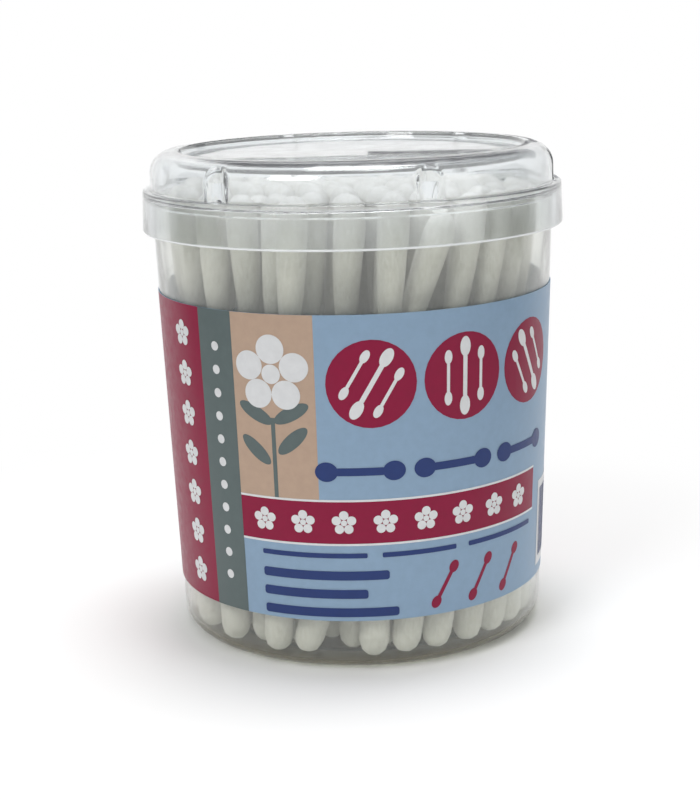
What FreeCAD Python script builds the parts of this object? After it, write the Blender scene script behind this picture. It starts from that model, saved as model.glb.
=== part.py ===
"""Cotton swab tub: a clear tapered tub with a wrap-round label and a lift-off lid, full of standing swabs.

Millimetres, +Z up. The origin is the centre of the foot, on the table. The front is -Y. Angles round the
tub are counted from the front, positive towards +X.
"""

import FreeCAD, Part
import itertools
import math
import os
import random

from FreeCAD import Placement, Rotation, Vector

# Driving dimensions: name, value, meaning
SIZES = [
    ("tub_foot_radius", 31.0, "outside of the tub wall carried down to the table"),
    ("tub_mouth_radius", 33.6, "outside of the tub wall at the rim"),
    ("swab_over_rim", 2.1, "how far an upright swab stands over the rim, into the lid"),
    ("tub_wall", 0.7, "thickness of the moulded wall"),
    ("base_corner_radius", 3.5, "outside round between foot and wall"),
    ("floor_thickness", 0.7, "thickness of the floor"),
    ("floor_rise", 0.6, "height of the raised middle of the floor over the foot ring"),
    ("foot_ring_width", 3.6, "flat ring that the tub stands on"),
    ("floor_step_slant", 0.6, "width of the slope up from the foot ring"),
    ("rim_bead_width", 0.3, "how far the rim bead stands out of the wall"),
    ("rim_bead_height", 1.1, "height of the rim bead"),
    ("lid_wall", 0.8, "thickness of the moulded lid"),
    ("lid_clearance", 0.3, "rim bead to the inside of the skirt"),
    ("lid_ledge_thickness", 1.1, "thickness of the ledge that sits on the rim"),
    ("lid_ledge_width", 1.3, "skirt to crown wall, seen from above"),
    ("skirt_height", 6.9, "lower edge of the skirt to the top of the ledge"),
    ("skirt_flare", 0.25, "how much wider the skirt is at its lower edge"),
    ("skirt_edge_chamfer", 0.4, "broken outer edge of the ledge"),
    ("crown_height", 6.2, "top of the ledge to the highest ring of the lid"),
    ("crown_draft", 0.1, "how much narrower the crown wall is at its top"),
    ("shoulder_radius", 3.6, "round between crown wall and top"),
    ("crest_width", 1.1, "flat ring between shoulder and dish"),
    ("dish_depth", 1.3, "depth of the dished middle of the lid"),
    ("dish_slant", 0.5, "width of the slope down into the dish"),
    ("flute_count", 6, "flutes round the crown"),
    ("flute_radius", 2.4, "radius of a flute's own round"),
    ("flute_depth", 1.2, "depth of a flute in the crown wall"),
    ("flute_angle", 21.0, "degrees from the front to the first flute"),
    ("label_bottom", 8.8, "table to the lower edge of the label"),
    ("label_top", 58.5, "table to the upper edge of the label"),
    ("label_thickness", 0.12, "thickness of the printed film"),
    ("label_glue", 0.04, "glue between film and wall"),
    ("label_gap", 1.6, "between the two ends of the film, at the back"),
    ("swab_fill", 0.713, "share of the tub's floor that the standing swabs cover"),
    ("swab_length", 75.0, "end to end"),
    ("stick_diameter", 2.4, "plastic rod"),
    ("tip_diameter", 5.1, "fattest part of the wound cotton"),
    ("tip_length", 20.0, "end of the swab to where the cotton thins out"),
    ("tip_belly", 4.5, "end of the swab to the fattest part of the cotton"),
    ("tip_crown_diameter", 3.2, "flat that stands for the rounded end of the cotton"),
    ("tip_neck_diameter", 3.3, "cotton where it thins out on the stick"),
    ("swab_gap", 0.1, "least air between two swabs, and between a swab and the tub"),
    ("swab_lean", 12.0, "how far a swab at the wall leans round the tub, foot to head"),
    ("swab_lean_change", 14.0, "how much that lean changes round the tub"),
    ("swab_scatter", 4.0, "how far a head strays from its even place"),
    ("stray_lean", 30.0, "how far a stray swab leans round the tub"),
    ("stray_share", 6, "one swab in so many is a stray"),
]
SHEET = "Sizes"
ROUND_SIDES = 44
ROUND_STEPS = 4
SWAB_SIDES = 5
ROWS = ["outer", "second", "third", "fourth", "fifth", "middle"]
SETTLING_ROUNDS = 1000
LEAST_OVERLAP = 0.06
ROUNDS_PER_SEARCH = 25
NEIGHBOUR_REACH = 1.5
SPANS = ["foot", "foot_taper", "rod", "head_taper", "head"]
SCATTER_SEED = 11
ALMOST_PARALLEL = 1e-9
GOLDEN_ANGLE = math.pi * (3 - math.sqrt(5))

# Heights and radii that follow from the driving dimensions
FLOOR_TOP = "({s}.floor_rise + {s}.floor_thickness)"
TUB_HEIGHT = "(" + FLOOR_TOP + " + {s}.swab_length - {s}.swab_over_rim)"
TUB_DRAFT = "(({s}.tub_mouth_radius - {s}.tub_foot_radius) / " + TUB_HEIGHT + ")"
CORNER_TOP = "({s}.tub_foot_radius + {s}.base_corner_radius * " + TUB_DRAFT + ")"
FOOT_RING_INSIDE = "(" + CORNER_TOP + " - {s}.base_corner_radius - {s}.foot_ring_width)"
BEAD_FOOT = "(" + TUB_HEIGHT + " - {s}.rim_bead_height)"
BEAD_RADIUS = "({s}.tub_mouth_radius + {s}.rim_bead_width)"
SKIRT_INSIDE = "(" + BEAD_RADIUS + " + {s}.lid_clearance)"
SKIRT_OUTSIDE = "(" + SKIRT_INSIDE + " + {s}.lid_wall)"
LEDGE_TOP = "(" + TUB_HEIGHT + " + {s}.lid_ledge_thickness)"
SKIRT_FOOT = "(" + LEDGE_TOP + " - {s}.skirt_height)"
CROWN_RADIUS = "(" + SKIRT_OUTSIDE + " - {s}.lid_ledge_width)"
CROWN_TOP_RADIUS = "(" + CROWN_RADIUS + " - {s}.crown_draft)"
LID_TOP = "(" + LEDGE_TOP + " + {s}.crown_height)"
DISH_EDGE = "(" + CROWN_TOP_RADIUS + " - {s}.shoulder_radius - {s}.crest_width)"
CORNER_INSIDE = "({s}.base_corner_radius - {s}.tub_wall)"
GLUED_FILM = "({s}.label_glue + {s}.label_thickness)"
FLUTE_CENTRE = "(" + CROWN_RADIUS + " + {s}.flute_radius - {s}.flute_depth)"


def sized(text):
    """An expression on the sheet's cells."""
    return text.replace("{s}", SHEET)


def size(text):
    """The value that such an expression has now."""
    return float(sheet.evalExpression(sized(text)))


def wall_at(height):
    """The outside radius of the tub wall at a height."""
    return "({s}.tub_foot_radius + " + height + " * " + TUB_DRAFT + ")"


def write_sizes():
    """Fills the sheet with the driving dimensions."""
    for row, (name, value, meaning) in enumerate(SIZES, start=1):
        sheet.set(f"A{row}", meaning)
        sheet.set(f"B{row}", str(value))
        sheet.setAlias(f"B{row}", name)
    doc.recompute()


def ring(name, radius_text, height_text):
    """A many-sided ring round the axis, its corners at a radius, given with its height as an expression."""
    outline = doc.addObject("Part::RegularPolygon", name)
    outline.Polygon = ROUND_SIDES
    outline.setExpression("Circumradius", sized(radius_text))
    outline.setExpression("Placement.Base.z", sized(height_text))
    return outline


def turned(name, sections):
    """A solid through rings given as (radius, height) expressions, from its foot up."""
    form = doc.addObject("Part::Loft", name)
    form.Sections = [ring(f"{name}_ring", *section) for section in sections]
    form.Solid = True
    form.Ruled = True
    return form


def cut(name, base, tool):
    """One form less another."""
    left = doc.addObject("Part::Cut", name)
    left.Label = name
    left.Base = base
    left.Tool = tool
    left.Refine = False
    return left


def quarter_round(radius_text, height_text, round_text, bottom):
    """Sections of a round between a flat end and a wall: under the wall if bottom, else over it."""
    sections = []
    for step in range(ROUND_STEPS + 1):
        turn = 90 * step / ROUND_STEPS
        inwards = f"{round_text} * (1 - sin({turn} deg))"
        upwards = f"{round_text} * (1 - cos({turn} deg))"
        if bottom:
            sections.append((f"({radius_text} - {inwards})", f"({height_text} + {upwards})"))
        else:
            sections.insert(0, (f"({radius_text} - {inwards})", f"({height_text} - {upwards})"))
    return sections


def make_tub():
    """The tub: tapered wall, beaded rim, foot ring and a floor that steps up inside it."""
    step_top = "(" + FOOT_RING_INSIDE + " - {s}.floor_step_slant)"
    outside = turned(
        "tub_outside",
        quarter_round(CORNER_TOP, "0", "{s}.base_corner_radius", True)
        + [
            (wall_at(BEAD_FOOT), BEAD_FOOT),
            (BEAD_RADIUS, "(" + BEAD_FOOT + " + {s}.rim_bead_width)"),
            (BEAD_RADIUS, TUB_HEIGHT),
        ],
    )
    recess = turned("foot_recess", [(FOOT_RING_INSIDE, "0"), (step_top, "{s}.floor_rise")])
    inside = turned(
        "tub_inside",
        quarter_round("(" + CORNER_TOP + " - {s}.tub_wall)", "{s}.floor_thickness", CORNER_INSIDE, True)
        + [("({s}.tub_mouth_radius - {s}.tub_wall)", TUB_HEIGHT)],
    )
    raised = turned("raised_floor", [(FOOT_RING_INSIDE, "{s}.floor_thickness"), (step_top, FLOOR_TOP)])
    return cut("tub", cut("tub_form", outside, recess), cut("tub_hollow", inside, raised))


def flutes(name, radius_text, foot_text):
    """The ring of upright rounds that stand for the flutes, from a height up."""
    rounds = []
    count = int(size("{s}.flute_count"))
    for index in range(count):
        turn = "({s}.flute_angle + 360 / {s}.flute_count * " + str(index) + ")"
        flute = doc.addObject("Part::Cylinder", f"{name}_{index + 1}")
        flute.setExpression("Radius", sized(radius_text))
        flute.setExpression("Height", sized("{s}.crown_height + {s}.lid_ledge_thickness"))
        flute.setExpression("Placement.Base.x", sized(f"{FLUTE_CENTRE} * sin({turn} * 1 deg)"))
        flute.setExpression("Placement.Base.y", sized(f"-{FLUTE_CENTRE} * cos({turn} * 1 deg)"))
        flute.setExpression("Placement.Base.z", sized(foot_text))
        rounds.append(flute)
    together = doc.addObject("Part::Compound", name)
    together.Links = rounds
    return together


def make_lid():
    """The lid: its outer form less the hollow, both with the flutes, so that the wall stays even."""
    skirt_mouth = "(" + SKIRT_OUTSIDE + " + {s}.skirt_flare)"
    skirt_edge = "(" + SKIRT_OUTSIDE + " - {s}.skirt_edge_chamfer)"
    dish_floor = "(" + LID_TOP + " - {s}.dish_depth)"
    skirt = turned(
        "lid_skirt",
        [
            (skirt_mouth, SKIRT_FOOT),
            (SKIRT_OUTSIDE, "(" + LEDGE_TOP + " - {s}.skirt_edge_chamfer)"),
            (skirt_edge, LEDGE_TOP),
        ],
    )
    crown = turned(
        "lid_crown",
        [(CROWN_RADIUS, LEDGE_TOP)]
        + quarter_round(CROWN_TOP_RADIUS, LID_TOP, "{s}.shoulder_radius", False),
    )
    dish = turned("lid_dish", [("(" + DISH_EDGE + " - {s}.dish_slant)", dish_floor), (DISH_EDGE, LID_TOP)])
    dished = cut("dished_crown", crown, dish)
    fluted = cut("fluted_crown", dished, flutes("flute", "{s}.flute_radius", LEDGE_TOP))
    outside = doc.addObject("Part::Fuse", "lid_outside")
    outside.Base = skirt
    outside.Tool = fluted
    outside.Refine = False

    ceiling = "(" + LID_TOP + " - {s}.lid_wall)"
    crown_inside = "(" + CROWN_RADIUS + " - {s}.lid_wall)"
    crown_top_inside = "(" + CROWN_TOP_RADIUS + " - {s}.lid_wall)"
    inside_round = "({s}.shoulder_radius - {s}.lid_wall)"
    under_dish = "(" + DISH_EDGE + " + {s}.lid_wall / 2)"
    skirt_hollow = turned(
        "skirt_hollow",
        [("(" + skirt_mouth + " - {s}.lid_wall)", SKIRT_FOOT), (SKIRT_INSIDE, TUB_HEIGHT)],
    )
    crown_hollow = turned(
        "crown_hollow",
        [(crown_inside, TUB_HEIGHT)] + quarter_round(crown_top_inside, ceiling, inside_round, False),
    )
    hanging = turned(
        "dish_underside",
        [
            ("(" + under_dish + " - {s}.dish_slant)", "(" + ceiling + " - {s}.dish_depth)"),
            (under_dish, ceiling),
        ],
    )
    ribs = flutes("flute_back", "({s}.flute_radius + {s}.lid_wall)", TUB_HEIGHT)
    crown_space = cut("crown_space", cut("dished_space", crown_hollow, hanging), ribs)
    return cut("lid", cut("lid_form", outside, skirt_hollow), crown_space)


def make_label():
    """The label: a film round the tapered wall, its two ends a little apart at the back."""
    heights = ("{s}.label_bottom", "{s}.label_top")
    films = []
    for name, lift in (("label_front", GLUED_FILM), ("label_back", "{s}.label_glue")):
        sections = [("(" + wall_at(height) + " + " + lift + ")", height) for height in heights]
        films.append(turned(name, sections))
    gap = doc.addObject("Part::Box", "label_ends")
    gap.setExpression("Length", sized("{s}.label_gap"))
    gap.setExpression("Width", sized("{s}.tub_mouth_radius * 2"))
    gap.setExpression("Height", sized("{s}.label_top"))
    gap.setExpression("Placement.Base.x", sized("-{s}.label_gap / 2"))
    return cut("label", cut("label_film", *films), gap)


class Swabs:
    """The standing swabs, each held as the places of its foot and its head, settled until none touch."""

    def __init__(self):
        self.length = size("{s}.swab_length")
        self.gap = size("{s}.swab_gap")
        self.tip = size("{s}.tip_diameter") / 2
        self.stick = size("{s}.stick_diameter") / 2
        self.crown = size("{s}.tip_crown_diameter") / 2
        self.floor_low = size("{s}.floor_thickness")
        self.floor_high = size(FLOOR_TOP)
        self.floor_step = size(FOOT_RING_INSIDE)
        self.floor_inside = size(wall_at("{s}.floor_thickness") + " - {s}.tub_wall")
        self.corner = size(CORNER_INSIDE)
        self.foot_reach = self.floor_inside - self.tip - self.gap
        flute_inside = size(FLUTE_CENTRE + " - {s}.flute_radius - {s}.lid_wall")
        self.head_reach = flute_inside - self.tip - size("{s}.lid_clearance")
        belly = size("{s}.tip_belly") / self.length
        neck = size("{s}.tip_length") / self.length
        middle = (belly + neck) / 2
        taper = (self.tip + size("{s}.tip_neck_diameter") / 2) / 2
        self.spans = {
            "foot": (belly / 2, middle, self.tip),
            "foot_taper": (middle, neck, taper),
            "rod": (neck, 1 - neck, self.stick),
            "head_taper": (1 - neck, 1 - middle, taper),
            "head": (1 - middle, 1 - belly / 2, self.tip),
        }
        self.span_pairs = [
            (one, other)
            for (one_at, one), (other_at, other) in itertools.product(enumerate(SPANS), repeat=2)
            if abs(one_at - other_at) < 2
        ]
        self.feet, self.heads = self.first_places()
        self.settle()

    def first_places(self):
        """Feet spread evenly over the floor, and heads that lean round the tub and scatter a little."""
        narrowest = min(self.foot_reach, self.head_reach) + self.tip
        count = int(size("{s}.swab_fill") * (narrowest / self.tip) ** 2)
        lean = size("{s}.swab_lean")
        change = size("{s}.swab_lean_change")
        stray_lean = size("{s}.stray_lean")
        share = int(size("{s}.stray_share"))
        scatter = size("{s}.swab_scatter")
        chance = random.Random(SCATTER_SEED)
        feet, heads = [], []
        for index in range(count):
            out = math.sqrt((index + 0.5) / count)
            turn = index * GOLDEN_ANGLE
            feet.append([self.foot_reach * out * math.cos(turn), self.foot_reach * out * math.sin(turn)])
            shift = lean + change * math.cos(turn)
            if index % share == share - 1:
                shift = stray_lean
            shift += scatter * (chance.random() - 0.5)
            head_turn = turn + shift * out / self.head_reach
            reach = self.head_reach * out + scatter * (chance.random() - 0.5)
            heads.append([reach * math.cos(head_turn), reach * math.sin(head_turn)])
        return feet, heads

    def floor_under(self, radius):
        """The highest point of the floor under a foot whose crown is centred at a radius."""
        level = self.floor_low
        if radius - self.crown < self.floor_step:
            level = self.floor_high
        into_corner = radius + self.crown - (self.floor_inside - self.corner)
        if into_corner <= 0:
            return level
        into_corner = min(into_corner, self.corner)
        climb = self.corner - math.sqrt(self.corner**2 - into_corner**2)
        return max(level, self.floor_low + climb)

    def axis(self, index):
        """The two ends of a swab: its foot just clear of the floor, its head where its length puts it."""
        (foot_x, foot_y), (head_x, head_y) = self.feet[index], self.heads[index]
        sideways = math.hypot(head_x - foot_x, head_y - foot_y)
        low = self.levels[index] + self.crown * sideways / self.length
        high = low + math.sqrt(self.length**2 - sideways**2)
        return Vector(foot_x, foot_y, low), Vector(head_x, head_y, high)

    def keep_inside(self):
        """Brings feet and heads back inside tub and lid, and takes the floor's height under each."""
        for places, reach in ((self.feet, self.foot_reach), (self.heads, self.head_reach)):
            for place in places:
                out = math.hypot(*place)
                if out > reach:
                    place[0] *= reach / out
                    place[1] *= reach / out
        self.levels = [self.floor_under(math.hypot(*foot)) + self.gap for foot in self.feet]

    def meeting(self, one, other, one_span, other_span, ends):
        """Where two stretches come closest, the way between them, and the air between their surfaces."""
        *one_reach, one_radius = self.spans[one_span]
        *other_reach, other_radius = self.spans[other_span]
        near_one, near_other, away = closest_points(ends[one], ends[other], one_reach, other_reach)
        return near_one, near_other, away, away.Length - one_radius - other_radius

    def neighbours(self):
        """Pairs of swabs with the stretches of each that are near the other's."""
        ends = [self.axis(index) for index in range(len(self.feet))]
        found = []
        near = 2 * self.tip + NEIGHBOUR_REACH
        whole = (0.0, 1.0)
        for one in range(len(self.feet)):
            for other in range(one):
                if closest_points(ends[one], ends[other], whole, whole)[2].Length > near:
                    continue
                for pair in self.span_pairs:
                    if self.meeting(one, other, *pair, ends)[3] < NEIGHBOUR_REACH:
                        found.append((one, other, *pair))
        return found

    def separate(self, one, other, one_span, other_span, ends):
        """Moves two stretches of neighbouring swabs apart where they overlap, and returns by how much."""
        near_one, near_other, away, air = self.meeting(one, other, one_span, other_span, ends)
        overlap = self.gap - air
        if overlap <= 0:
            return 0.0
        push = overlap / max(math.hypot(away.x, away.y), self.gap) / 2
        for index, near, sign in ((one, near_one, -1), (other, near_other, 1)):
            reach = sign * push / (near**2 + (1 - near) ** 2)
            for place, share in ((self.feet[index], 1 - near), (self.heads[index], near)):
                place[0] += reach * share * away.x
                place[1] += reach * share * away.y
            ends[index] = self.axis(index)
        return overlap

    def settle(self):
        """Moves the swabs apart round by round until none overlap."""
        for step in range(SETTLING_ROUNDS):
            self.keep_inside()
            if step % ROUNDS_PER_SEARCH == 0:
                meetings = self.neighbours()
            ends = [self.axis(index) for index in range(len(self.feet))]
            worst = 0.0
            for pair in meetings:
                worst = max(worst, self.separate(*pair, ends))
            if worst < LEAST_OVERLAP:
                break
        self.keep_inside()
        print(f"swabs settled in {step + 1} rounds, largest overlap {worst:.4f}")

    def row(self, index):
        """The row that a swab stands in, counted inwards from the wall."""
        inwards = 1 - math.hypot(*self.feet[index]) / self.foot_reach
        return min(len(ROWS) - 1, int(inwards * len(ROWS)))


def closest_points(one, other, one_reach, other_reach):
    """Where stretches of two swabs come closest: the place along each, and the way between them."""
    one_start, one_end = one
    other_start, other_end = other
    one_from, one_to = one_reach
    other_from, other_to = other_reach
    along_one = one_end - one_start
    along_other = other_end - other_start
    between = one_start - other_start
    one_square = along_one.dot(along_one)
    other_square = along_other.dot(along_other)
    product = along_one.dot(along_other)
    one_part = along_one.dot(between)
    other_part = along_other.dot(between)
    slack = one_square * other_square - product**2
    near_one = (one_from + one_to) / 2
    if slack > ALMOST_PARALLEL * one_square * other_square:
        near_one = (product * other_part - other_square * one_part) / slack
    near_one = min(one_to, max(one_from, near_one))
    near_other = min(other_to, max(other_from, (product * near_one + other_part) / other_square))
    near_one = min(one_to, max(one_from, (product * near_other - one_part) / one_square))
    away = other_start + along_other * near_other - one_start - along_one * near_one
    return near_one, near_other, away


def faceted(rings):
    """A closed convex solid through many-sided rings, each given as (height, radius)."""
    corners = []
    for height, radius in rings:
        turns = [2 * math.pi * side / SWAB_SIDES for side in range(SWAB_SIDES)]
        corners.append([Vector(radius * math.cos(a), radius * math.sin(a), height) for a in turns])
    faces = [Part.Face(Part.makePolygon(end + end[:1])) for end in (corners[0], corners[-1])]
    for lower, upper in zip(corners, corners[1:]):
        for side in range(SWAB_SIDES):
            after = (side + 1) % SWAB_SIDES
            outline = [lower[side], lower[after], upper[after], upper[side], lower[side]]
            faces.append(Part.Face(Part.makePolygon(outline)))
    solid = Part.makeSolid(Part.makeShell(faces))
    if solid.Volume < 0:
        solid.reverse()
    return solid


def make_swabs():
    """The swabs, row by row: their sticks, the tips they stand on and the tips at their heads."""
    swabs = Swabs()
    tip_length = size("{s}.tip_length")
    tip = faceted(
        [
            (0, size("{s}.tip_crown_diameter / 2")),
            (size("{s}.tip_belly"), swabs.tip),
            (tip_length, size("{s}.tip_neck_diameter / 2")),
        ]
    )
    stick = faceted([(tip_length, swabs.stick), (swabs.length - tip_length, swabs.stick)])
    upside_down = Placement(Vector(0, 0, swabs.length), Rotation(Vector(1, 0, 0), 180))
    kinds = ("sticks", "lower_tips", "upper_tips")
    groups = {(row, kind): [] for row in range(len(ROWS)) for kind in kinds}
    for index in range(len(swabs.feet)):
        foot, head = swabs.axis(index)
        standing = Placement(foot, Rotation(Vector(0, 0, 1), head - foot))
        pieces = (
            ("sticks", stick, standing),
            ("lower_tips", tip, standing),
            ("upper_tips", tip, standing * upside_down),
        )
        for kind, form, place in pieces:
            piece = form.copy()
            piece.Placement = place
            groups[(swabs.row(index), kind)].append(piece)
    parts = []
    for (row, kind), group in groups.items():
        if group:
            part = doc.addObject("Part::Feature", f"{ROWS[row]}_row_{kind}")
            part.Label = part.Name
            part.Shape = Part.makeCompound(group)
            part.Placement = Placement()
            parts.append(part)
    return parts


def check():
    """Stops if a feature failed or a sub-part has no sound shape."""
    for thing in doc.Objects:
        if "Invalid" in thing.State or "Error" in thing.State:
            raise RuntimeError(f"{thing.Label} failed: {thing.State}")
    for part in sub_parts:
        if part.Shape.isNull() or not part.Shape.isValid():
            raise RuntimeError(f"{part.Label} has no sound shape")


doc = FreeCAD.newDocument("cotton_swab_tub")
sheet = doc.addObject("Spreadsheet::Sheet", SHEET)
write_sizes()
sub_parts = [make_tub(), make_lid(), make_label()] + make_swabs()
doc.recompute()
check()
os.makedirs("parts", exist_ok=True)
for part in sub_parts:
    part.Shape.exportStep(f"parts/{part.Label}.step")
    print(part.Label, len(part.Shape.Solids), round(part.Shape.Volume, 1))
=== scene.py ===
"""The finish of a clear tub of cotton swabs: smooth mouldings, wound cotton, a printed label and a studio."""

import math

import bmesh
import bpy
from mathutils import Matrix, Vector, noise


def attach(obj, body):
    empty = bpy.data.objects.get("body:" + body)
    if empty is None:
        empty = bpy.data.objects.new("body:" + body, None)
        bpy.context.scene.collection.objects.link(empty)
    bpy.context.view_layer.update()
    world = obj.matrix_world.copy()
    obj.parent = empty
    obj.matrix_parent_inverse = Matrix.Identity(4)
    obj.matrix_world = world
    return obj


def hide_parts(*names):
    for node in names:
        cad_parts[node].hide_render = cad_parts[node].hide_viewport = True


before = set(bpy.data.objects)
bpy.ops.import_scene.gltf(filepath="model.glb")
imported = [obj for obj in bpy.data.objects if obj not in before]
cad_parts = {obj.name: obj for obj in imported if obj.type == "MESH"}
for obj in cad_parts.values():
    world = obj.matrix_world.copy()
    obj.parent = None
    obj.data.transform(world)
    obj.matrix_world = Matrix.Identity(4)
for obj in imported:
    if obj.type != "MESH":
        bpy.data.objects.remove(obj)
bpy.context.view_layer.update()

MM = 0.001

# The tub, in millimetres
FOOT_RADIUS = 31.0
MOUTH_RADIUS = 33.6
TUB_HEIGHT = 74.2
TUB_WALL = 0.7
BASE_ROUND = 3.5
FLOOR_THICKNESS = 0.7
FLOOR_RISE = 0.6
FOOT_RING_INSIDE = 24.02
FLOOR_SLANT = 0.6
BEAD_WIDTH = 0.3
BEAD_HEIGHT = 1.1

# The lid, in millimetres
LID_WALL = 0.8
SKIRT_MOUTH = 35.25
SKIRT_RADIUS = 35.0
SKIRT_INSIDE = 34.2
SKIRT_FOOT = 68.4
LEDGE_TOP = 75.3
SEAT_AIR = 0.02
CROWN_RADIUS = 33.7
CROWN_DRAFT = 0.1
LID_TOP = 81.5
SHOULDER = 3.6
CREST_WIDTH = 1.1
DISH_DEPTH = 1.3
DISH_SLANT = 0.5
FLUTES = 6
FLUTE_RADIUS = 2.4
FLUTE_DEPTH = 1.2
FIRST_FLUTE = 21.0
FLUTE_BLEND = 0.25
FLUTE_ZONE = 12.0
FLUTE_STEPS = 26
PLAIN_STEPS = 22
FACES_DOWN = -0.2
EDGE_HEIGHT = 0.4
EDGE_FADE = 0.1

# The label, in millimetres
LABEL_BOTTOM = 8.8
LABEL_TOP = 58.5
LABEL_GLUE = 0.04
LABEL_THICKNESS = 0.12
LABEL_GAP = 1.6
PRINT_RADIUS = 32.2
INK_STEP = 0.012
INK_THICKNESS = 0.006
WRAP_STEP = 1.6

# The fields of colour: places round the tub from its front, and heights, in millimetres
PANEL_LEFT = -72
PANEL_RIGHT = -27.3
STRIPE_RIGHT = -20.2
SAND_RIGHT = -6.4
BAND_BOTTOM = 21.8
BAND_TOP = 28.7
BAND_EDGE = 0.35
BAND_RIGHT = 36.0
BACK_STRIPE_LEFT = 60.5
BACK_PANEL_LEFT = 64
CODE_FIELD = (39.0, 53.0, 10.5, 25.5)

# The signs and flowers on them: a row is its first place, its step and its count, a leaf is its
# place, its height and its turn, and a round's sign is its place beside the middle and its length
DISC_SIDES = 32
PETALS = 5
PUFF_SHARE = 0.37
MIDDLE_SHARE = 1.9
STALK = (-13.8, -13.1)
STALK_TOP = 42.0
LEAVES = ((-16.6, 36.6, 48), (-10.3, 38.4, -48), (-16.4, 42.6, 62), (-10.4, 42.8, -62))
LEAF_WIDTH = 2.3
LEAF_LENGTH = 6.4
LARGE_FLOWER = (-13.4, 49.0, 12.6)
BAND_FLOWERS = (-15.8, 6.6, 8)
BAND_FLOWER_WIDTH = 4.0
PANEL_FLOWERS = (13.4, 6.7, 7)
PANEL_FLOWER_PLACE = -32.4
PANEL_FLOWER_WIDTH = 4.4
DOTS = (14.6, 3.8, 11)
DOT_WIDTH = 1.5
SIGN_HEAD_WIDTH = 0.2
SIGN_HEAD_LENGTH = 0.34
SIGN_STICK_WIDTH = 0.08
SIGN_STICK_LENGTH = 0.68
ROUNDS = (2.2, 15.2, 3)
ROUND_TURNS = (-30, 0, 30)
ROUND_HEIGHT = 47.6
ROUND_WIDTH = 14.0
ROUND_SIGNS = ((-3.0, 6.6), (0, 9.4), (3.0, 6.6))
SLANTED_SIGNS = (14.0, 7.0, 3)
SLANTED_SIGN_HEIGHT = 13.7
LYING_SIGNS = (0.2, 15.6, 3)
LYING_SIGN_HEIGHT = 33.6

# The plain bars: where they start and end, and the top, height and step of their rows
BAR_ROUND = 0.3
BARS_LEFT = -16.5
BAR_ENDS = (4.5, 1.0, 6.0)
BAR_ROWS = (17.2, 1.5, 3.1)
TOP_BARS = ((-16.5, 1.0), (3.4, 16.0), (18.4, 34.5))
TOP_BAR_ROW = (20.2, 0.8, 1)
BACK_BARS = ((70.0, (94.0, 91.0, 95.0, 88.0, 92.0, 84.0)), (-95.0, (-78.0, -81.0, -76.0, -84.0)))
BACK_BAR_ROWS = (50.0, 1.4, 3.4)
CODE_LEFT = 40.2
CODE_BOTTOM = 12.0
CODE_TOP = 24.0
CODE_BARS = 11
CODE_WIDTH = 0.35
CODE_SPACE = 0.4

# The studio, in metres: a lamp is its name, place, size and watts, and a card its name, place and size
FLOOR_REACH = 0.22
FLOOR_SHADED = 0.03
FLOOR_WHITE = 0.13
# How far under the base the floor shows a painted shadow to rays through the clear walls, and how it fades
PAINTED_SHADOW_REACH = 0.031
PAINTED_SHADOW_FADE = 0.004
LAMPS = (
    ("key", (-0.35, -0.45, 0.55), 0.30, 2.2),
    ("fill", (0.55, -0.35, 0.30), 0.45, 0.7),
    ("top", (0.05, 0.10, 0.75), 0.35, 4.0),
)
LAMP_AIM = Vector((0, 0, 0.04))
SURROUND_LIGHT = 0.27
SURROUND_WHITE = 1.0
CARD_AIM = Vector((0, 0, 0.08))
CARDS = (
    ("card_above", (0.10, 0.32, 0.46), (0.60, 0.56)),
    ("card_left", (-0.42, 0.02, 0.12), (0.30, 0.34)),
    ("card_right", (0.42, 0.02, 0.12), (0.30, 0.34)),
    ("card_low", (0.048, 0.40, 0.1065), (0.085, 0.018)),
)

# The view: its place in metres, its pitch, yaw and roll in degrees, and its lens in millimetres
VIEW_PLACE = (0.0, -0.290, 0.1046)
VIEW_ANGLES = (13.0, -0.25, -1.54)
VIEW_LENS = 77.4
VIEW_SENSOR = 36.0
VIEW_NEAR = 0.01

# The swabs, in millimetres
ROWS = ("outer", "second", "third", "fourth", "fifth", "middle")
TIP_LENGTH = 20.0
STICK_IN_COTTON = 1.5
STICK_RADIUS = 1.2
SWAB_SIDES = 12
STICK_SIDES = 8
TIP_PROFILE = ((0.35, 1.2), (1.2, 2.0), (2.7, 2.46), (5.5, 2.54), (11.5, 2.35), (16.5, 2.05), (20.0, 1.6))
TIP_LUMPS = 0.16
TIP_LUMP_SIZE = 3.0

# The angles, in degrees, past which an edge of a piece looks sharp
MOULDING_CREASE = 50
STICK_CREASE = 60
FILM_CREASE = 40

# How much light goes through a clear moulding, and through its milky lower edge
CLEARNESS = 0.95
EDGE_CLEARNESS = 0.3

# Colours
TUB_TINT = (0.93, 0.94, 0.915, 1)
TUB_SHADE = (0.86, 0.865, 0.825, 1)
LID_TINT = (0.93, 0.95, 0.96, 1)
LID_SHADE = (0.93, 0.94, 0.95, 1)
COTTON_DARK_CLUMP = (0.72, 0.71, 0.66, 1)
COTTON_MASS = (0.88, 0.87, 0.83, 1)
COTTON_FIBRE = (0.93, 0.925, 0.90, 1)
STICK_LINE = (0.80, 0.81, 0.79, 1)
STICK_WHITE = (0.90, 0.91, 0.89, 1)
FLOOR_COLOUR = (0.93, 0.93, 0.93, 1)
# Painted shadow under the base: a table's brown, darkened, seen only through the clear walls
PAINTED_SHADOW_BROWN = (0.16, 0.13, 0.075, 1)
CARD_DARK = (0.03, 0.028, 0.04, 1)
INK_THIN = 0.93
INK_COLOURS = {
    "sky": (0.27, 0.39, 0.53),
    "crimson": (0.26, 0.004, 0.042),
    "slate": (0.115, 0.15, 0.15),
    "navy": (0.022, 0.045, 0.17),
    "white": (0.74, 0.75, 0.76),
    "sand": (0.50, 0.36, 0.27),
}


def wall_at(height):
    """The outside radius of the tub wall at a height, in millimetres."""
    return FOOT_RADIUS + (MOUTH_RADIUS - FOOT_RADIUS) * height / TUB_HEIGHT


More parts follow.
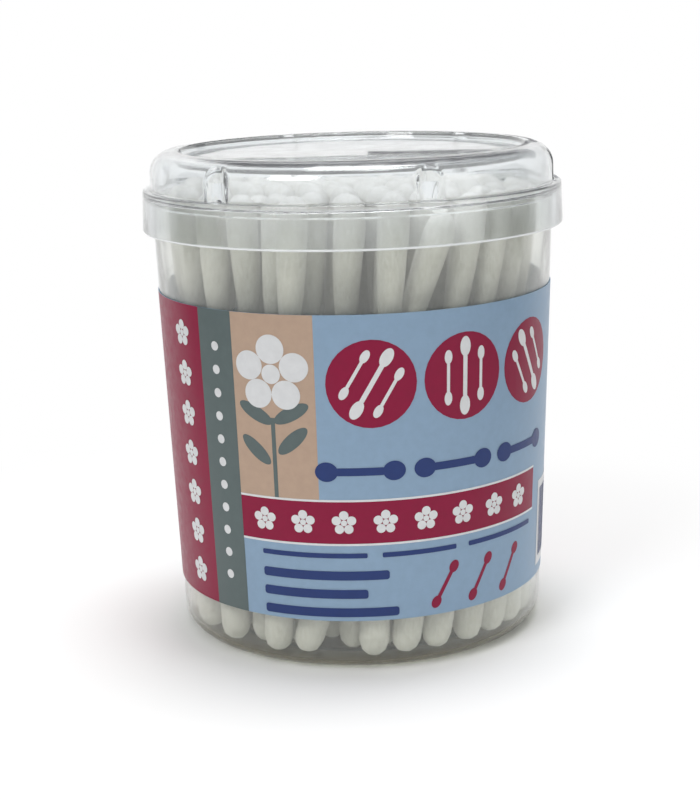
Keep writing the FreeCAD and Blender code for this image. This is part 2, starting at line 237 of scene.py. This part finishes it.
def piece(form, name, body, material, stands_for=(), sharp=None):
    """A finished mesh on its body, in its finish, standing for the CAD nodes that it shows in full detail."""
    mesh = bpy.data.meshes.new(name)
    form.to_mesh(mesh)
    form.free()
    mesh.shade_smooth()
    if sharp is not None:
        mesh.set_sharp_from_angle(angle=math.radians(sharp))
    obj = bpy.data.objects.new(name, mesh)
    bpy.context.scene.collection.objects.link(obj)
    mesh.materials.append(material)
    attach(obj, body)
    if stands_for:
        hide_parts(*stands_for)


def section(corners):
    """A wire in the XZ plane, from the axis and back to it, through corners in millimetres.

    Each corner is its radius, its height, its round and the steps of that round.
    """
    form = bmesh.new()
    verts = [form.verts.new((radius * MM, 0, height * MM)) for radius, height, _, _ in corners]
    for one, other in zip(verts, verts[1:]):
        form.edges.new((one, other))
    for vert, (_, _, rounding, steps) in zip(verts, corners):
        if rounding:
            before, after = (edge.other_vert(vert).co - vert.co for edge in vert.link_edges)
            reach = rounding * MM / math.tan(before.angle(after) / 2)
            bmesh.ops.bevel(
                form,
                geom=[vert],
                offset=reach,
                offset_type="OFFSET",
                segments=steps,
                profile=0.5,
                affect="VERTICES",
                material=-1,
            )
    return form


def revolve(form, arcs):
    """Turns the wire round the axis through arcs of (degrees, steps) that make up a full turn."""
    wire = form.verts[:] + form.edges[:]
    for degrees, steps in arcs:
        turned = bmesh.ops.spin(
            form,
            geom=wire,
            cent=(0, 0, 0),
            axis=(0, 0, 1),
            angle=math.radians(degrees),
            steps=steps,
            use_merge=degrees == 360,
        )
        wire = turned["geom_last"]
    bmesh.ops.remove_doubles(form, verts=form.verts, dist=1e-6)
    bmesh.ops.recalc_face_normals(form, faces=form.faces)


class Finish:
    """A node material with a Principled shader and short calls for the nodes that feed it."""

    def __init__(self, name, **sockets):
        self.material = bpy.data.materials.new(name)
        self.material.use_nodes = True
        self.tree = self.material.node_tree
        self.shader = self.tree.nodes["Principled BSDF"]
        self.output = self.tree.nodes["Material Output"]
        for socket, value in sockets.items():
            self.shader.inputs[socket.replace("_", " ")].default_value = value

    def node(self, kind, **inputs):
        """A new node with its inputs linked or set."""
        made = self.tree.nodes.new(kind)
        for name, value in inputs.items():
            self.put(made.inputs[name.replace("_", " ")], value)
        return made

    def put(self, socket, value):
        """Links an output, or sets a plain value."""
        if isinstance(value, bpy.types.NodeSocket):
            self.tree.links.new(value, socket)
        else:
            socket.default_value = value

    def place(self, scale=(1, 1, 1)):
        """Object coordinates, stretched."""
        coordinates = self.node("ShaderNodeTexCoord").outputs["Object"]
        return self.node("ShaderNodeMapping", Vector=coordinates, Scale=scale).outputs["Vector"]

    def grain(self, size, detail=3.0, roughness=0.55, stretch=(1, 1, 1)):
        """Noise with features of about a size in millimetres."""
        return self.node(
            "ShaderNodeTexNoise",
            Vector=self.place(stretch),
            Scale=1 / (size * MM),
            Detail=detail,
            Roughness=roughness,
        ).outputs["Fac"]

    def blend(self, factor, low, high):
        """Two colours mixed by a factor."""
        mix = self.tree.nodes.new("ShaderNodeMix")
        mix.data_type = "RGBA"
        self.put(mix.inputs["Factor"], factor)
        self.put(mix.inputs[6], low)
        self.put(mix.inputs[7], high)
        return mix.outputs[2]

    def span(self, value, low, high, to_low, to_high):
        """A value carried from one span to another."""
        carried = self.node("ShaderNodeMapRange", Value=value)
        for name, number in (("From Min", low), ("From Max", high), ("To Min", to_low), ("To Max", to_high)):
            carried.inputs[name].default_value = number
        return carried.outputs["Result"]

    def bump(self, height, depth, strength=1.0):
        """Relief of a depth in millimetres."""
        relief = self.node("ShaderNodeBump", Height=height, Strength=strength, Distance=depth * MM)
        self.put(self.shader.inputs["Normal"], relief.outputs["Normal"])


def backdrop_ray(tree):
    """A factor of 1 for what the camera, a gloss or a clear wall sees, and 0 for what only gives light."""
    path = tree.nodes.new("ShaderNodeLightPath")
    found = path.outputs["Is Camera Ray"]
    for other in ("Is Glossy Ray", "Is Transmission Ray"):
        either = tree.nodes.new("ShaderNodeMath")
        either.operation = "MAXIMUM"
        tree.links.new(found, either.inputs[0])
        tree.links.new(path.outputs[other], either.inputs[1])
        found = either.outputs["Value"]
    return found


def clear_plastic(name, tint, shade, ripple, milky_edge=None):
    """Clear moulded plastic, a little hazy and rippled, that lets the lamps through to what is inside.

    A milky edge is the height, in millimetres, up to which the moulding's cut edge scatters light.
    """
    finish = Finish(name, Base_Color=tint, IOR=1.5, Transmission_Weight=CLEARNESS)
    finish.bump(finish.grain(9.0, detail=2.0), ripple)
    haze = finish.span(finish.grain(3.0), 0.35, 0.7, to_low=0.04, to_high=0.12)
    finish.put(finish.shader.inputs["Roughness"], haze)
    if milky_edge is not None:
        height = finish.node("ShaderNodeSeparateXYZ", Vector=finish.place()).outputs["Z"]
        low, high = (milky_edge - EDGE_FADE) * MM, milky_edge * MM
        cleared = finish.span(height, low, high, EDGE_CLEARNESS, CLEARNESS)
        finish.put(finish.shader.inputs["Transmission Weight"], cleared)
    path = finish.node("ShaderNodeLightPath")
    unlit = finish.node("ShaderNodeMath")
    unlit.operation = "MAXIMUM"
    finish.put(unlit.inputs[0], path.outputs["Is Shadow Ray"])
    finish.put(unlit.inputs[1], path.outputs["Is Diffuse Ray"])
    through = finish.node("ShaderNodeBsdfTransparent", Color=shade)
    mix = finish.node("ShaderNodeMixShader", Fac=unlit.outputs["Value"])
    finish.put(mix.inputs[1], finish.shader.outputs["BSDF"])
    finish.put(mix.inputs[2], through.outputs["BSDF"])
    finish.put(finish.output.inputs["Surface"], mix.outputs["Shader"])
    return finish.material


def wound_cotton():
    """Wound cotton: soft fibres, darker in clumps that fall at random."""
    finish = Finish("wound_cotton", Roughness=0.95, Sheen_Weight=0.45, Sheen_Roughness=0.5)
    finish.shader.inputs["Specular IOR Level"].default_value = 0.15
    fibres = finish.grain(0.6, detail=6.0, roughness=0.75, stretch=(1, 1, 0.4))
    clumps = finish.grain(2.6)
    worked = finish.blend(finish.span(clumps, 0.3, 0.7, 0, 1), COTTON_DARK_CLUMP, COTTON_MASS)
    wound = finish.blend(finish.span(fibres, 0.35, 0.65, 0, 1), worked, COTTON_FIBRE)
    finish.put(finish.shader.inputs["Base Color"], wound)
    finish.bump(fibres, depth=0.3, strength=0.9)
    return finish.material


def extruded_stick():
    """White plastic rod with faint lines drawn along it."""
    finish = Finish("extruded_stick", Roughness=0.42)
    drawn = finish.grain(0.4, roughness=0.5, stretch=(1, 1, 0.05))
    plastic = finish.blend(finish.span(drawn, 0.3, 0.7, 0, 1), STICK_LINE, STICK_WHITE)
    finish.put(finish.shader.inputs["Base Color"], plastic)
    finish.bump(drawn, depth=0.02)
    return finish.material


def printed(name, colour):
    """Ink on film: a plain colour with the unevenness of the press and a soft gloss."""
    finish = Finish(name)
    finish.shader.inputs["Specular IOR Level"].default_value = 0.25
    press = finish.span(finish.grain(1.4, detail=4.0), 0.3, 0.7, 0, 1)
    darker = [channel * INK_THIN for channel in colour]
    finish.put(finish.shader.inputs["Base Color"], finish.blend(press, (*darker, 1), (*colour, 1)))
    finish.put(finish.shader.inputs["Roughness"], finish.span(press, 0, 1, to_low=0.3, to_high=0.42))
    finish.bump(finish.grain(7.0, detail=2.0), depth=0.05)
    return finish.material


def floor_with_painted_shadow():
    """The plain floor: the object's shadow near it, and white like the surround farther out.

    Under the base, and only for rays through the clear walls, it is a painted shadow: a table's brown,
    darkened.
    """
    finish = Finish("floor_with_painted_shadow", Roughness=0.9)
    finish.shader.inputs["Specular IOR Level"].default_value = 0.1
    reach = finish.node("ShaderNodeVectorMath", Vector=finish.place())
    reach.operation = "LENGTH"
    whiteness = finish.node("ShaderNodeMath")
    whiteness.operation = "MULTIPLY"
    finish.put(whiteness.inputs[0], backdrop_ray(finish.tree))
    finish.put(whiteness.inputs[1], finish.span(reach.outputs["Value"], FLOOR_SHADED, FLOOR_WHITE, 0, 1))
    # Painted shadow: under the base, rays through the clear walls see the floor dark brown
    painted_shadow_factor = finish.node("ShaderNodeMath")
    painted_shadow_factor.operation = "MULTIPLY"
    finish.put(painted_shadow_factor.inputs[0], finish.node("ShaderNodeLightPath").outputs["Is Transmission Ray"])
    painted_shadow_area = finish.span(reach.outputs["Value"], PAINTED_SHADOW_REACH, PAINTED_SHADOW_REACH + PAINTED_SHADOW_FADE, 1, 0)
    finish.put(painted_shadow_factor.inputs[1], painted_shadow_area)
    seen = finish.blend(painted_shadow_factor.outputs["Value"], FLOOR_COLOUR, PAINTED_SHADOW_BROWN)
    finish.put(finish.shader.inputs["Base Color"], seen)
    white = finish.node("ShaderNodeEmission", Strength=SURROUND_WHITE)
    mix = finish.node("ShaderNodeMixShader", Fac=whiteness.outputs["Value"])
    finish.put(mix.inputs[1], finish.shader.outputs["BSDF"])
    finish.put(mix.inputs[2], white.outputs["Emission"])
    finish.put(finish.output.inputs["Surface"], mix.outputs["Shader"])
    return finish.material


TUB_CLEAR = clear_plastic("clear_tub", TUB_TINT, TUB_SHADE, ripple=0.05)
LID_CLEAR = clear_plastic(
    "clear_lid", LID_TINT, LID_SHADE, ripple=0.06, milky_edge=SKIRT_FOOT + EDGE_HEIGHT
)
COTTON = wound_cotton()
STICK = extruded_stick()
INKS = {ink: printed(f"ink_{ink}", colour) for ink, colour in INK_COLOURS.items()}


def make_tub():
    """The tub: tapered wall, beaded rim, foot ring and raised floor, in one closed wall."""
    foot = wall_at(0)
    bead = MOUTH_RADIUS + BEAD_WIDTH
    inner_floor = FLOOR_THICKNESS + FLOOR_RISE
    inner_foot = wall_at(FLOOR_THICKNESS) - TUB_WALL
    form = section(
        [
            (0, FLOOR_RISE, 0, 0),
            (FOOT_RING_INSIDE - FLOOR_SLANT, FLOOR_RISE, 0.5, 4),
            (FOOT_RING_INSIDE, 0, 0.3, 3),
            (foot, 0, BASE_ROUND, 12),
            (wall_at(TUB_HEIGHT - BEAD_HEIGHT), TUB_HEIGHT - BEAD_HEIGHT, 0.25, 3),
            (bead, TUB_HEIGHT - BEAD_HEIGHT + BEAD_WIDTH, 0.15, 3),
            (bead, TUB_HEIGHT, 0.15, 3),
            (MOUTH_RADIUS - TUB_WALL, TUB_HEIGHT, 0.15, 3),
            (inner_foot, FLOOR_THICKNESS, BASE_ROUND - TUB_WALL, 12),
            (FOOT_RING_INSIDE, FLOOR_THICKNESS, 0.3, 3),
            (FOOT_RING_INSIDE - FLOOR_SLANT, inner_floor, 0.5, 4),
            (0, inner_floor, 0, 0),
        ]
    )
    revolve(form, [(360, 180)])
    piece(form, "clear_tub", "tub", TUB_CLEAR, ["tub"], MOULDING_CREASE)


def nearer(one, other):
    """The smaller of two radii, with a soft change from one to the other."""
    share = max(FLUTE_BLEND - abs(one - other), 0) / FLUTE_BLEND
    return min(one, other) - share * share * FLUTE_BLEND / 4


def flute_wall(degrees, radius):
    """How far from the axis a flute of a radius leaves the wall at an angle from the front."""
    pitch = 360 / FLUTES
    away = math.radians((degrees - FIRST_FLUTE + pitch / 2) % pitch - pitch / 2)
    centre = CROWN_RADIUS + FLUTE_RADIUS - FLUTE_DEPTH
    sideways = centre * math.sin(away)
    if abs(sideways) >= radius:
        return math.inf
    return centre * math.cos(away) - math.sqrt(radius**2 - sideways**2)


def press_flutes(form):
    """Presses the flutes into both faces of the crown, so that the wall stays even."""
    for vert in form.verts:
        radius = math.hypot(vert.co.x, vert.co.y) / MM
        height = vert.co.z / MM
        if height < TUB_HEIGHT + LID_WALL or not radius:
            continue
        inside = vert.tag
        degrees = math.degrees(math.atan2(vert.co.x, -vert.co.y))
        limit = flute_wall(degrees, FLUTE_RADIUS + (LID_WALL if inside else 0))
        if math.isinf(limit) or radius > CROWN_RADIUS + FLUTE_BLEND:
            continue
        pressed = nearer(radius, limit)
        vert.co.x *= pressed / radius
        vert.co.y *= pressed / radius


def make_lid():
    """The lid: flared skirt, ledge, fluted crown with a round shoulder, and a dished top."""
    seat = TUB_HEIGHT + SEAT_AIR
    crown_top = CROWN_RADIUS - CROWN_DRAFT
    crest = crown_top - SHOULDER
    dish = crest - CREST_WIDTH
    dish_floor = LID_TOP - DISH_DEPTH
    ceiling = LID_TOP - LID_WALL
    under = dish + LID_WALL / 2
    outer = [
        (0, dish_floor, 0, 0),
        (dish - DISH_SLANT, dish_floor, 0.35, 3),
        (dish, LID_TOP, 0.3, 3),
        (crown_top, LID_TOP, SHOULDER, 16),
        (CROWN_RADIUS, LEDGE_TOP, 0.35, 4),
        (SKIRT_RADIUS, LEDGE_TOP, 0.45, 4),
        (SKIRT_MOUTH, SKIRT_FOOT, 0.38, 5),
    ]
    inner = [
        (SKIRT_MOUTH - LID_WALL, SKIRT_FOOT, 0.38, 5),
        (SKIRT_INSIDE, seat, 0.3, 3),
        (CROWN_RADIUS - LID_WALL, seat, 0.2, 3),
        (crown_top - LID_WALL, ceiling, SHOULDER - LID_WALL, 12),
        (under, ceiling, 0.3, 3),
        (under - DISH_SLANT, ceiling - DISH_DEPTH, 0.3, 3),
        (0, ceiling - DISH_DEPTH, 0, 0),
    ]
    form = section(outer + inner)
    pitch = 360 / FLUTES
    lead = FIRST_FLUTE - FLUTE_ZONE / 2
    turn = Matrix.Rotation(math.radians(lead - 90), 3, "Z")
    bmesh.ops.rotate(form, verts=form.verts, cent=(0, 0, 0), matrix=turn)
    revolve(form, [(FLUTE_ZONE, FLUTE_STEPS), (pitch - FLUTE_ZONE, PLAIN_STEPS)] * FLUTES)
    for vert in form.verts:
        outward = Vector((vert.co.x, vert.co.y, 0))
        ceiling_side = vert.normal.z < FACES_DOWN and vert.co.z > seat * MM
        vert.tag = vert.normal.dot(outward) < 0 or ceiling_side
    press_flutes(form)
    bmesh.ops.recalc_face_normals(form, faces=form.faces)
    piece(form, "clear_lid", "lid", LID_CLEAR, ["lid"], MOULDING_CREASE)


def stick_axes(row):
    """The lower and upper end of every stick in a row, read from the CAD node."""
    source = bmesh.new()
    source.from_mesh(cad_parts[f"{row}_row_sticks"].data)
    bmesh.ops.remove_doubles(source, verts=source.verts, dist=1e-7)
    seen = set()
    axes = []
    for start in source.verts:
        if start in seen:
            continue
        island, waiting = [], [start]
        seen.add(start)
        while waiting:
            vert = waiting.pop()
            island.append(vert.co.copy())
            for edge in vert.link_edges:
                other = edge.other_vert(vert)
                if other not in seen:
                    seen.add(other)
                    waiting.append(other)
        island.sort(key=lambda place: place.z)
        half = len(island) // 2
        axes.append([sum(part, Vector()) / half for part in (island[:half], island[half:])])
    source.free()
    return axes


def tube(rings, sides, closed_start=False):
    """A round form along +Z through (height, radius) rings in millimetres."""
    form = bmesh.new()
    first_height, first_radius = rings[0]
    circle = bmesh.ops.create_circle(form, cap_ends=False, radius=first_radius * MM, segments=sides)
    bmesh.ops.translate(form, verts=circle["verts"], vec=(0, 0, first_height * MM))
    edges = form.edges[:]
    if closed_start:
        cap = bmesh.ops.extrude_edge_only(form, edges=edges)["geom"]
        tops = [item for item in cap if isinstance(item, bmesh.types.BMVert)]
        bmesh.ops.pointmerge(form, verts=tops, merge_co=(0, 0, 0))
    for (_, before), (height, radius) in zip(rings, rings[1:]):
        grown = bmesh.ops.extrude_edge_only(form, edges=edges)["geom"]
        verts = [item for item in grown if isinstance(item, bmesh.types.BMVert)]
        edges = [item for item in grown if isinstance(item, bmesh.types.BMEdge)]
        bmesh.ops.scale(form, verts=verts, vec=(radius / before, radius / before, 1))
        for vert in verts:
            vert.co.z = height * MM
    bmesh.ops.holes_fill(form, edges=[edge for edge in form.edges if edge.is_boundary], sides=0)
    bmesh.ops.recalc_face_normals(form, faces=form.faces)
    mesh = bpy.data.meshes.new("pattern")
    form.to_mesh(mesh)
    form.free()
    return mesh


def standing(start, end):
    """The turn and move that puts a form along +Z onto a line from start to end."""
    return Matrix.Translation(start) @ (end - start).to_track_quat("Z", "Y").to_matrix().to_4x4()


def add_copy(form, pattern, place):
    """Adds a copy of a pattern at a place."""
    before = len(form.verts)
    form.from_mesh(pattern)
    form.verts.ensure_lookup_table()
    bmesh.ops.transform(form, matrix=place, verts=form.verts[before:])


def fluff(verts):
    """Sinks the cotton's surface unevenly, and never lifts it, so that neighbours stay clear."""
    for vert in verts:
        lump = noise.noise(vert.co / (TIP_LUMP_SIZE * MM))
        vert.co -= vert.normal * TIP_LUMPS * MM * (0.5 + lump / 2)


def make_swabs():
    """Every row of swabs: plain rods, and slightly uneven tips of cotton with round ends."""
    tip = tube(TIP_PROFILE, SWAB_SIDES, closed_start=True)
    for row in ROWS:
        sticks, lower, upper = bmesh.new(), bmesh.new(), bmesh.new()
        for low, high in stick_axes(row):
            along = (high - low).normalized()
            reach = along * STICK_IN_COTTON * MM
            length = ((high - low).length / MM) + 2 * STICK_IN_COTTON
            rod = tube(((0, STICK_RADIUS), (length, STICK_RADIUS)), STICK_SIDES)
            add_copy(sticks, rod, standing(low - reach, high))
            foot = low - along * TIP_LENGTH * MM
            head = high + along * TIP_LENGTH * MM
            add_copy(lower, tip, standing(foot, head))
            add_copy(upper, tip, standing(head, foot))
        for form in (lower, upper, sticks):
            bmesh.ops.recalc_face_normals(form, faces=form.faces)
            form.normal_update()
        fluff(lower.verts)
        fluff(upper.verts)
        piece(sticks, f"{row}_rods", "tub", STICK, [f"{row}_row_sticks"], STICK_CREASE)
        piece(lower, f"{row}_lower_cotton", "tub", COTTON, [f"{row}_row_lower_tips"])
        piece(upper, f"{row}_upper_cotton", "tub", COTTON, [f"{row}_row_upper_tips"])


def box(form, left, right, bottom, top, rounding=0.0):
    """A field between two places round the tub and two heights, with rounded corners where asked."""
    corners = ((left, bottom), (right, bottom), (right, top), (left, top))
    face = form.faces.new([form.verts.new((x, y, 0)) for x, y in corners])
    if rounding:
        bmesh.ops.bevel(
            form,
            geom=list(face.verts),
            offset=rounding,
            offset_type="OFFSET",
            segments=6,
            profile=0.5,
            affect="VERTICES",
            material=-1,
        )


def disc(form, x, y, across, high, turn=0.0):
    """A round or oval spot of a width and a height, turned by degrees."""
    place = Matrix.Translation((x, y, 0)) @ Matrix.Rotation(math.radians(turn), 4, "Z")
    stretched = place @ Matrix.Diagonal((across, high, 1, 1))
    bmesh.ops.create_circle(form, cap_ends=True, radius=0.5, segments=DISC_SIDES, matrix=stretched)


def swab_sign(form, x, y, length, turn, bold=1.0):
    """A plain sign of one swab: a bar with an oval at each end."""
    angle = math.radians(turn)
    reach = length / 2
    for side in (-1, 1):
        head_x = x - side * reach * math.sin(angle)
        head_y = y + side * reach * math.cos(angle)
        disc(form, head_x, head_y, length * SIGN_HEAD_WIDTH * bold, length * SIGN_HEAD_LENGTH, turn)
    place = Matrix.Translation((x, y, 0)) @ Matrix.Rotation(angle, 4, "Z")
    stick = Matrix.Diagonal((length * SIGN_STICK_WIDTH * bold, length * SIGN_STICK_LENGTH, 1, 1))
    bmesh.ops.create_grid(form, x_segments=1, y_segments=1, size=0.5, matrix=place @ stick)


def wrap(form, name, ink, layer, whole=False):
    """Lays a flat print round the cone of the tub on its layer, cut finely enough to follow it.

    The whole film stands for the label, and the inks are thin fields on it.
    """
    left = min(vert.co.x for vert in form.verts)
    right = max(vert.co.x for vert in form.verts)
    for step in range(math.ceil(left / WRAP_STEP), math.floor(right / WRAP_STEP) + 1):
        bmesh.ops.bisect_plane(
            form,
            geom=form.verts[:] + form.edges[:] + form.faces[:],
            dist=1e-5,
            plane_co=(step * WRAP_STEP, 0, 0),
            plane_no=(1, 0, 0),
        )
    lift = LABEL_GLUE + LABEL_THICKNESS + layer * INK_STEP
    for vert in form.verts:
        radius = wall_at(vert.co.y) + lift
        turn = vert.co.x / PRINT_RADIUS
        vert.co = Vector((radius * math.sin(turn), -radius * math.cos(turn), vert.co.y)) * MM
    for face in form.faces:
        face.normal_update()
        middle = face.calc_center_median()
        if face.normal.dot(Vector((middle.x, middle.y, 0))) < 0:
            face.normal_flip()
    thickness = (LABEL_THICKNESS if whole else INK_THICKNESS) * MM
    bmesh.ops.solidify(form, geom=form.faces[:], thickness=thickness)
    bmesh.ops.recalc_face_normals(form, faces=form.faces)
    piece(form, name, "tub", INKS[ink], ["label"] if whole else (), FILM_CREASE)


def places(first, step, count):
    """The places of a row."""
    return [first + step * index for index in range(count)]


def bars(form, left, rights, rows):
    """Plain bars one under another, each to its own length, with rows as (top, height, step)."""
    top, height, step = rows
    for index, right in enumerate(rights):
        high = top - index * step
        box(form, left, right, high - height, high, height * BAR_ROUND)


def cotton_flower(form, x, y, across):
    """A round of puffs that just touch, with a smaller one in the middle."""
    puff = across * PUFF_SHARE
    out = puff / 2 / math.sin(math.pi / PETALS)
    for index in range(PETALS):
        turn = math.radians(90) + 2 * math.pi * index / PETALS
        disc(form, x + out * math.cos(turn), y + out * math.sin(turn), puff, puff)
    middle = (out - puff / 2) * MIDDLE_SHARE
    disc(form, x, y, middle, middle)


def print_fields(end):
    """The fields of colour: panels with their stripes, the band, and fields for a flower and a code."""
    crimson = bmesh.new()
    box(crimson, PANEL_LEFT, PANEL_RIGHT, LABEL_BOTTOM, LABEL_TOP)
    box(crimson, STRIPE_RIGHT, BAND_RIGHT, BAND_BOTTOM, BAND_TOP)
    box(crimson, BACK_PANEL_LEFT, end, LABEL_BOTTOM, LABEL_TOP)
    wrap(crimson, "print_crimson", "crimson", 1)

    slate = bmesh.new()
    box(slate, PANEL_RIGHT, STRIPE_RIGHT, LABEL_BOTTOM, LABEL_TOP)
    box(slate, BACK_STRIPE_LEFT, BACK_PANEL_LEFT, LABEL_BOTTOM, LABEL_TOP)
    wrap(slate, "print_slate", "slate", 2)

    sand = bmesh.new()
    box(sand, STRIPE_RIGHT, SAND_RIGHT, BAND_TOP + BAND_EDGE, LABEL_TOP)
    wrap(sand, "print_sand", "sand", 1)

    edges = bmesh.new()
    for height in (BAND_TOP, BAND_BOTTOM - BAND_EDGE):
        box(edges, STRIPE_RIGHT, BAND_RIGHT, height, height + BAND_EDGE)
    box(edges, *CODE_FIELD)
    wrap(edges, "print_white_fields", "white", 3)


def print_flowers():
    """White cotton flowers: a large one on its sprig, and rows on the band and up the side, with dots."""
    leaves = bmesh.new()
    box(leaves, *STALK, BAND_TOP + BAND_EDGE, STALK_TOP)
    for x, y, turn in LEAVES:
        disc(leaves, x, y, LEAF_WIDTH, LEAF_LENGTH, turn)
    wrap(leaves, "print_leaves", "slate", 2)

    flowers = bmesh.new()
    cotton_flower(flowers, *LARGE_FLOWER)
    for x in places(*BAND_FLOWERS):
        cotton_flower(flowers, x, (BAND_BOTTOM + BAND_TOP) / 2, BAND_FLOWER_WIDTH)
    for y in places(*PANEL_FLOWERS):
        cotton_flower(flowers, PANEL_FLOWER_PLACE, y, PANEL_FLOWER_WIDTH)
    for y in places(*DOTS):
        disc(flowers, (PANEL_RIGHT + STRIPE_RIGHT) / 2, y, DOT_WIDTH, DOT_WIDTH)
    wrap(flowers, "print_flowers", "white", 4)


def print_signs():
    """Signs of swabs: three white ones on each crimson round, and crimson ones beside the bars."""
    rounds = bmesh.new()
    signs = bmesh.new()
    for x, turn in zip(places(*ROUNDS), ROUND_TURNS):
        disc(rounds, x, ROUND_HEIGHT, ROUND_WIDTH, ROUND_WIDTH)
        for side, length in ROUND_SIGNS:
            across = side * math.cos(math.radians(turn))
            up = side * math.sin(math.radians(turn))
            swab_sign(signs, x + across, ROUND_HEIGHT + up, length, turn)
    for x in places(*SLANTED_SIGNS):
        swab_sign(rounds, x, SLANTED_SIGN_HEIGHT, length=6.4, turn=-30, bold=1.3)
    wrap(rounds, "print_rounds", "crimson", 2)
    wrap(signs, "print_round_signs", "white", 4)


def print_bars():
    """A row of navy swab signs, rows of plain bars, and upright bars on the code's field."""
    navy = bmesh.new()
    for x in places(*LYING_SIGNS):
        swab_sign(navy, x, LYING_SIGN_HEIGHT, length=10.6, turn=90, bold=1.5)
    bars(navy, BARS_LEFT, BAR_ENDS, BAR_ROWS)
    for left, right in TOP_BARS:
        bars(navy, left, (right,), TOP_BAR_ROW)
    left = CODE_LEFT
    for index in range(CODE_BARS):
        width = CODE_WIDTH + CODE_WIDTH * (index * 5 % 3)
        box(navy, left, left + width, CODE_BOTTOM, CODE_TOP)
        left += width + CODE_SPACE
    wrap(navy, "print_navy", "navy", 5)

    white = bmesh.new()
    for left, rights in BACK_BARS:
        bars(white, left, rights, BACK_BAR_ROWS)
    wrap(white, "print_back_bars", "white", 3)


def make_label():
    """The label: a film with fields of colour, and plain signs of swabs and cotton on them."""
    end = math.pi * PRINT_RADIUS - LABEL_GAP / 2
    film = bmesh.new()
    box(film, -end, end, LABEL_BOTTOM, LABEL_TOP)
    wrap(film, "label_film", "sky", 0, whole=True)
    print_fields(end)
    print_flowers()
    print_signs()
    print_bars()


def staged(name, form, material):
    """A piece of the studio."""
    mesh = bpy.data.meshes.new(name)
    form.to_mesh(mesh)
    form.free()
    mesh.materials.append(material)
    obj = bpy.data.objects.new(name, mesh)
    bpy.context.scene.collection.objects.link(obj)
    return obj


def make_studio():
    """A pale floor, a white surround, dark cards that only the clear pieces show, and soft lamps."""
    ground = bmesh.new()
    bmesh.ops.create_grid(ground, x_segments=1, y_segments=1, size=FLOOR_REACH)
    staged("floor", ground, floor_with_painted_shadow())

    dark = Finish("dark_card", Base_Color=CARD_DARK, Roughness=0.9).material
    for name, place, size in CARDS:
        card = bmesh.new()
        facing = (CARD_AIM - Vector(place)).to_track_quat("Z", "Y").to_matrix().to_4x4()
        spread = Matrix.Translation(place) @ facing @ Matrix.Diagonal((*size, 1, 1))
        bmesh.ops.create_grid(card, x_segments=1, y_segments=1, size=0.5, matrix=spread)
        obj = staged(name, card, dark)
        obj.visible_camera = False
        obj.visible_diffuse = False
        obj.visible_shadow = False

    world = bpy.data.worlds.new("surround")
    bpy.context.scene.world = world
    world.use_nodes = True
    tree = world.node_tree
    strength = tree.nodes.new("ShaderNodeMapRange")
    strength.inputs["To Min"].default_value = SURROUND_LIGHT
    strength.inputs["To Max"].default_value = SURROUND_WHITE
    tree.links.new(backdrop_ray(tree), strength.inputs["Value"])
    background = tree.nodes["Background"]
    tree.links.new(strength.outputs["Result"], background.inputs["Strength"])
    background.inputs["Color"].default_value = (1, 1, 1, 1)

    for name, place, size, power in LAMPS:
        lamp = bpy.data.lights.new(name, "AREA")
        lamp.size = size
        lamp.energy = power
        obj = bpy.data.objects.new(name, lamp)
        obj.location = place
        obj.rotation_euler = (LAMP_AIM - Vector(place)).to_track_quat("-Z", "Y").to_euler()
        bpy.context.scene.collection.objects.link(obj)


def make_camera():
    """The photograph's view: a long lens, 29 cm away, looking a little down."""
    pitch, yaw, roll = (math.radians(angle) for angle in VIEW_ANGLES)
    ahead = Vector((math.sin(yaw) * math.cos(pitch), math.cos(yaw) * math.cos(pitch), -math.sin(pitch)))
    right = Vector((math.cos(yaw), -math.sin(yaw), 0))
    up = right.cross(ahead)
    side = right * math.cos(roll) + up * math.sin(roll)
    over = up * math.cos(roll) - right * math.sin(roll)
    lens = bpy.data.cameras.new("view")
    lens.sensor_width = VIEW_SENSOR
    lens.lens = VIEW_LENS
    lens.clip_start = VIEW_NEAR
    camera = bpy.data.objects.new("view", lens)
    turned = Matrix((side, over, -ahead)).transposed().to_4x4()
    camera.matrix_world = Matrix.Translation(VIEW_PLACE) @ turned
    bpy.context.scene.collection.objects.link(camera)
    bpy.context.scene.camera = camera


make_tub()
make_lid()
make_swabs()
make_label()
make_studio()
make_camera()
bpy.context.scene.view_settings.view_transform = "Standard"
